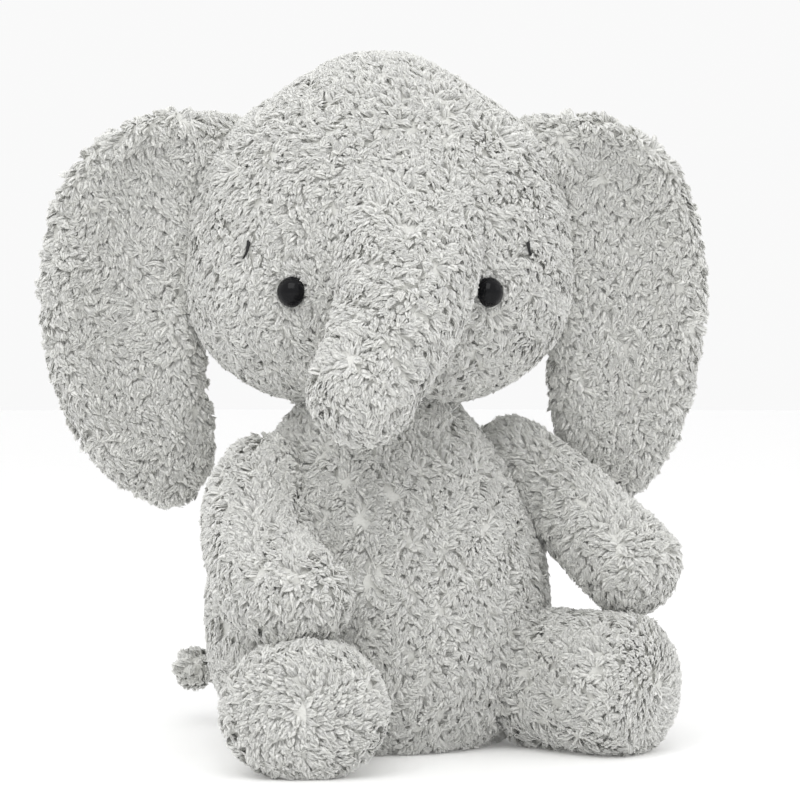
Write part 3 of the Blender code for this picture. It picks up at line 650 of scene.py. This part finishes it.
for number, (side, sign) in enumerate((("left", 1.0), ("right", -1.0))):
    hip = Vector(joints[f"{side}_leg_splay"]["pos_m"])
    leg_nodes = [f"{side}_leg_upper", f"{side}_leg_under", f"{side}_sole"]
    low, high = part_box(f"{side}_sole")
    along = (low + high) / 2 - hip
    along.z = 0.0
    along.normalize()
    outward = along.cross(UP) * -sign
    length = reach(leg_nodes, along, hip)[1] - PILE_ROOM
    half_width = reach(leg_nodes, outward, hip)[1]
    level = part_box(f"{side}_leg_upper")[1].z / 2
    height = LEG_HALF_HEIGHT[side]
    base = Vector((hip.x, hip.y, height + 0.0012))
    wide = ((0.0, 0.024), (0.35, 0.025), (0.72, half_width - 0.0035), (1.0, half_width - 0.0045))
    tall = ((0.0, height - 0.001), (0.35, height), (0.72, height), (1.0, height - 0.001))
    path = [base + along * length * share for share in (0.12, 0.42, 0.72, 0.975)]
    leg_skin = melt(f"{side}_leg_skin", [stuffed_tube(path, wide, tall, (0.2, 0.2))], rounds=6)
    plump(leg_skin, 0.002)
    rest_on_floor(leg_skin)
    finish_skin(leg_skin, 0.9, f"{side}_leg_stuffing")
    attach(leg_skin, f"{side}_leg")

    def ahead(roots, hip=hip, along=along):
        return (roots - np.array(hip)) @ np.array(along)

    sole_line = length - SOLE_DEPTH
    centre = hip + along * length
    centre.z = level
    upper = pile(f"{side}_leg_pile", leg_skin, 31 + number, keep=lambda roots: ahead(roots) < sole_line,
                 comb=lambda roots, normals: np.outer(-normals[:, 2], np.array(along)) * 0.6)

    def whirl(roots, normals, centre=centre, along=along):
        away = roots - np.array(centre)
        away -= np.outer(away @ np.array(along), np.array(along))
        return unit(away) + 0.8 * unit(np.cross(np.array(along)[None, :], away))

    sole = pile(f"{side}_sole_pile", leg_skin, 35 + number, keep=lambda roots: ahead(roots) >= sole_line,
                comb=whirl, curl=0.5, length=0.0055)
    for piece, nodes in ((upper, leg_nodes[:2]), (sole, leg_nodes[2:])):
        finish_pile(piece, *nodes)
        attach(piece, f"{side}_leg")

# ---------------------------------------------------------------- the arms
# Two loosely stuffed tubes sewn on at the shoulder. The left one reaches down and out to rest on
# its foot; the right one bends at the elbow and lays its paw across the knee.

ARM_PATHS = {
    "left": ((0.049, 0.000, 0.124), (0.0664, -0.0204, 0.1085), (0.0766, -0.0446, 0.0905),
             (0.0855, -0.0640, 0.0745), (0.0925, -0.0745, 0.0655)),
    "right": ((-0.044, -0.004, 0.118), (-0.0580, -0.010, 0.105), (-0.0655, -0.0235, 0.0875),
              (-0.0690, -0.0520, 0.0705), (-0.0570, -0.0780, 0.0665)),
}
ARM_SIZES = {
    "left": (0.0165, 0.0155, 0.0165, 0.0175, 0.0165),
    "right": (0.0165, 0.0185, 0.0195, 0.0190, 0.0175),
}

for number, side in enumerate(("left", "right")):
    arm_nodes = [f"{side}_arm_top", f"{side}_arm_under"]
    path = [Vector(point) for point in ARM_PATHS[side]]
    sizes = [(index / 4, size) for index, size in enumerate(ARM_SIZES[side])]
    arm_skin = melt(f"{side}_arm_skin", [stuffed_tube(path, sizes, sizes, (0.12, 0.2))], rounds=4)
    plump(arm_skin, 0.002)
    finish_skin(arm_skin, 0.6, f"{side}_arm_stuffing")
    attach(arm_skin, f"{side}_arm")
    arm_pile = pile(f"{side}_arm_pile", arm_skin, 41 + number)
    finish_pile(arm_pile, *arm_nodes)
    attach(arm_pile, f"{side}_arm")

# ---------------------------------------------------------------- the head and trunk
# One stuffed form: a forehead gusset runs from the crown down into the trunk, with a cheek on
# each side. The trunk hangs forward and curls to the elephant's right.

neck = Vector(joints["head_turn"]["pos_m"])
head_left = -Vector(joints["trunk_lift"]["axis"])
head_front = head_left.cross(UP)


def in_head(across, ahead, height):
    """A place in the head's own frame: to its left, forward, and up from the neck."""
    return neck + head_left * across + head_front * ahead + UP * height


face = reach(["head_stuffing"], head_front, neck)[1]
trunk_path = [in_head(0.006, face - 0.036, 0.088),
              in_head(0.006, face - 0.010, 0.068),
              in_head(0.004, face + 0.011, 0.043),
              in_head(-0.008, face + 0.024, 0.017),
              in_head(-0.021, face + 0.030, -0.0095)]
trunk_wide = ((0.0, 0.030), (0.25, 0.0265), (0.5, 0.0225), (0.75, 0.0190), (1.0, 0.0170))
trunk_tall = ((0.0, 0.029), (0.25, 0.0255), (0.5, 0.0215), (0.75, 0.0175), (1.0, 0.0155))
head_skin = melt("head_skin", [node_copy("head_stuffing"),
                               stuffed_tube(trunk_path, trunk_wide, trunk_tall, (0.1, 0.12))], rounds=12)
CROWN_START, CROWN_HEIGHT = 0.104, 0.038    # above the neck, and from there to the top
CROWN_NARROWING = 0.30
places = points_of(head_skin.data) + normals_of(head_skin.data) * 0.0012
rise = np.clip((places[:, 2] - neck.z - CROWN_START) / CROWN_HEIGHT, 0.0, 1.0)
aside = (places - np.array(neck)) @ np.array(head_left)
places -= np.outer(aside * CROWN_NARROWING * rise ** 2 * (3 - 2 * rise), np.array(head_left))
set_points(head_skin.data, places)
plump(head_skin, 0.002)
finish_skin(head_skin, 0.9, "head_stuffing", "trunk_stuffing")
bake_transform(head_skin)


def in_head_frame(roots):
    """Each root to the head's left, forward and up from the neck."""
    away = roots - np.array(neck)
    return np.stack([away @ np.array(head_left), away @ np.array(head_front), away[:, 2]], axis=1)


def is_trunk(roots):
    return in_head_frame(roots)[:, 1] > face + 0.006


GUSSET_HALF = 0.031
CHIN_HEIGHT = 0.012         # above the neck


def gusset(roots):
    at = in_head_frame(roots)
    return (np.abs(at[:, 0]) < GUSSET_HALF) & (at[:, 2] > CHIN_HEIGHT) & ~is_trunk(roots)


def chin(roots):
    at = in_head_frame(roots)
    return (np.abs(at[:, 0]) < GUSSET_HALF) & (at[:, 2] <= CHIN_HEIGHT) & ~is_trunk(roots)


def cheek(sign):
    return lambda roots: (in_head_frame(roots)[:, 0] * sign >= GUSSET_HALF) & ~is_trunk(roots)


eye_places = {}
for side in ("left", "right"):
    corners = [vertex.co for vertex in frame["nodes"][f"{side}_eye"].data.vertices]
    eye_places[side] = max(corners, key=lambda corner: (corner - neck).xy.length).copy()


def from_eyes(roots):
    """How far each root is from the nearer eye."""
    return np.min([np.linalg.norm(roots - np.array(place), axis=1) for place in eye_places.values()], axis=0)


def round_eyes(roots):
    """Short pile close round the eyes."""
    return np.clip((from_eyes(roots) - 0.004) / 0.008, 0.25, 1.0)


def clear_of_eyes(chosen):
    """The same choice of roots, without those that would grow through an eye."""
    return lambda roots: chosen(roots) & (from_eyes(roots) > 0.0064)


head_pieces = (("gusset_pile", gusset, ["forehead_gusset"]),
               ("chin_pile", chin, ["chin_panel"]),
               ("left_cheek_pile", cheek(1.0), ["left_cheek"]),
               ("right_cheek_pile", cheek(-1.0), ["right_cheek"]),
               ("trunk_pile", is_trunk, ["trunk_top", "trunk_underside"]))
for number, (label, chosen, nodes) in enumerate(head_pieces):
    coat = pile(label, head_skin, 51 + number, keep=clear_of_eyes(chosen), trim=round_eyes)
    finish_pile(coat, *nodes)
    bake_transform(coat)

# The head is closed onto the body with a doubled grey thread, hidden in the pile of the neck.
sewing_thread, _ = plain_material("sewing_thread", (0.62, 0.62, 0.60), 0.7)
add_grain(sewing_thread, 1200.0, depth=0.0002)


def finish_node(node, surface):
    """Gives a CAD node that stays in the toy its own finish."""
    mesh = frame["nodes"][node].data
    mesh.materials.clear()
    mesh.materials.append(surface)


finish_node("neck_thread", sewing_thread)

# ---------------------------------------------------------------- the eyes and brows
# Black safety eyes: polished plastic domes on shanks, pressed into the pile. Over each one a short
# black stitch of thick cotton stands for a brow.

eye_black, eye_shader = plain_material("eye_black", (0.006, 0.006, 0.007), 0.06)
eye_shader.inputs["Specular IOR Level"].default_value = 0.15
scuffs = add_grain(eye_black, 400.0, low=0.04, high=0.09)
eye_black.node_tree.links.new(scuffs.outputs["Level"], eye_shader.inputs["Roughness"])

washer_nylon, _ = plain_material("washer_nylon", (0.82, 0.82, 0.79), 0.4)
add_grain(washer_nylon, 600.0, depth=0.00005)

EYE_RADIUS = 0.0062
EYE_BACK = 0.003            # the flatter back of the dome
EYE_SEAT = 0.0056           # from the tip of the CAD eye back to the dome's rim

for side in ("left", "right"):
    finish_node(f"{side}_eye_washer", washer_nylon)
    shape = frame["nodes"][f"{side}_eye"].data
    tip = eye_places[side]
    centre = sum((vertex.co for vertex in shape.vertices), Vector()) / len(shape.vertices)
    outward = (tip - centre).normalized()
    dome = bmesh.new()
    bmesh.ops.create_uvsphere(dome, u_segments=40, v_segments=28, radius=1.0)
    turn = outward.to_track_quat("Z", "Y")
    seat = tip - outward * EYE_SEAT
    for vertex in dome.verts:
        at = vertex.co.copy()
        depth = EYE_RADIUS if at.z > 0 else EYE_BACK
        vertex.co = seat + turn @ Vector((at.x * EYE_RADIUS, at.y * EYE_RADIUS, at.z * depth))
    eye = shown_piece(f"{side}_eye_dome", dome, eye_black)
    eye.data.shade_smooth()
    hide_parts(f"{side}_eye")
    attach(eye, "head")

brow_black, _ = plain_material("brow_black", (0.012, 0.012, 0.013), 0.75)
add_grain(brow_black, 1500.0, depth=0.0002)
skin_tree = BVHTree.FromPolygons([vertex.co for vertex in head_skin.data.vertices],
                                 [face.vertices for face in head_skin.data.polygons])
BROW_ASIDE = 0.0562         # from the head's middle, at the stitch's top
BROW_HEIGHT = 0.0665        # above the neck
BROW_LENGTH = 0.009
BROW_THICK = 0.00085        # half of the thread's thickness at the top

for side, sign in (("left", 1.0), ("right", -1.0)):
    rows = []
    for step in range(9):
        share = step / 8
        out = BROW_ASIDE + 0.0026 * share - 0.0008 * math.sin(math.pi * share)
        spot = in_head(sign * out, 0.12, BROW_HEIGHT - BROW_LENGTH * share)
        hit = skin_tree.ray_cast(spot, -head_front)[0]
        lift = 0.0040 - 0.0052 * abs(2 * share - 0.9) ** 3
        size = BROW_THICK * (1.0 - 0.55 * share)
        middle = hit + head_front * lift
        turns = [2 * math.pi * corner / 10 for corner in range(10)]
        rows.append([middle + (head_left * math.cos(a) + head_front * math.sin(a)) * size for a in turns])
    brow = shown_piece(f"{side}_brow_thread", ring_form(rows), brow_black)
    brow.data.shade_smooth()
    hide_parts(f"{side}_brow_stitch")
    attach(brow, "head")

# ---------------------------------------------------------------- the ears
# Each ear is a thin stuffed leaf: a front and a back sewn together, hanging from the side of the
# head. Its edges and its top roll forward, so that the front is hollow.

EAR_TOP = 0.1175            # above the neck
EAR_TIP = -0.0425
# How far out from the head's middle each edge lies, down the ear's length.
OUTER_EDGE = {
    "left": ((0.0, 0.100), (0.10, 0.118), (0.22, 0.1285), (0.38, 0.1345), (0.52, 0.1355),
             (0.68, 0.1325), (0.84, 0.1255), (0.95, 0.1175), (1.0, 0.113)),
    "right": ((0.0, 0.102), (0.08, 0.116), (0.20, 0.1290), (0.34, 0.1345), (0.48, 0.1365),
              (0.62, 0.1340), (0.80, 0.1235), (0.94, 0.109), (1.0, 0.100)),
}
INNER_EDGE = {
    "left": ((0.0, 0.064), (0.15, 0.070), (0.45, 0.0745), (0.72, 0.0770), (0.90, 0.0860), (1.0, 0.095)),
    "right": ((0.0, 0.064), (0.15, 0.072), (0.45, 0.0765), (0.72, 0.0735), (0.90, 0.0705), (1.0, 0.0730)),
}
EAR_HALF_THICK = 0.0066
EAR_HOLLOW = 0.010          # depth of the cup
EAR_ROLL = 0.012            # how far the top rolls forward

for number, (side, sign) in enumerate((("left", 1.0), ("right", -1.0))):
    ear_rings = []
    for ring in range(33):
        share = 0.5 - math.cos(math.pi * ring / 32) / 2
        inner, outer = ease(INNER_EDGE[side], share), ease(OUTER_EDGE[side], share) + 0.002
        near = min(share / 0.13, 1.0)
        far = min((1.0 - share) / 0.17, 1.0)
        round_top = math.sqrt(max(1 - (1 - near) ** 2.2, 0.0))
        round_tip = math.sqrt(max(1 - (1 - far) ** 2.2, 0.0))
        close = max(round_top * round_tip, 0.03)
        half = (outer - inner) / 2 * close
        ahead = 0.008 - 0.033 * share + EAR_ROLL * max(1.0 - share / 0.22, 0.0) ** 2
        points = []
        for step in range(36):
            angle = 2 * math.pi * step / 36
            across = math.copysign(abs(math.cos(angle)) ** 0.8, math.cos(angle))
            rise = math.copysign(abs(math.sin(angle)) ** 0.8, math.sin(angle))
            cup = EAR_HOLLOW * (across ** 2 - 0.55) * math.sin(math.pi * min(share * 1.15, 1.0)) ** 0.6
            thick = EAR_HALF_THICK * (0.75 + 0.25 * across ** 2) * close ** 0.5
            points.append(in_head(sign * ((inner + outer) / 2 + half * across), ahead + cup + thick * rise,
                                  EAR_TOP + (EAR_TIP - EAR_TOP) * share))
        ear_rings.append(points)
    root = ball(in_head(sign * 0.070, 0.006, 0.1045), (0.019, 0.0115, 0.0125), (head_left, head_front, UP))
    ear_skin = melt(f"{side}_ear_skin", [ring_form(ear_rings), root], voxel=0.0025, rounds=4)
    plump(ear_skin, 0.0015)
    finish_skin(ear_skin, 0.4, f"{side}_ear_padding")
    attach(ear_skin, f"{side}_ear")
    coat = pile(f"{side}_ear_pile", ear_skin, 61 + number)
    finish_pile(coat, f"{side}_ear_front", f"{side}_ear_back")
    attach(coat, f"{side}_ear")

# ---------------------------------------------------------------- the tail
# A short cord of filling in a tube of the same plush, sewn into the seam between the back and
# the seat.

tail_root = joints["tail_swing"]["pos_m"]
root = ball(Vector((tail_root[0], tail_root[1] - 0.0085, tail_root[2] + 0.001)), (0.0055, 0.0095, 0.0055))
tail_skin = melt("tail_skin", [node_copy("tail_cord"), root], voxel=0.0018, rounds=3)
TAIL_DROOP = 0.003
set_points(tail_skin.data, points_of(tail_skin.data) - np.array([0.0, 0.0, TAIL_DROOP]))
finish_skin(tail_skin, 0.5, "tail_cord")
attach(tail_skin, "tail")
tail_pile = pile("tail_pile", tail_skin, 71)
finish_pile(tail_pile, "tail_cover")
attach(tail_pile, "tail")
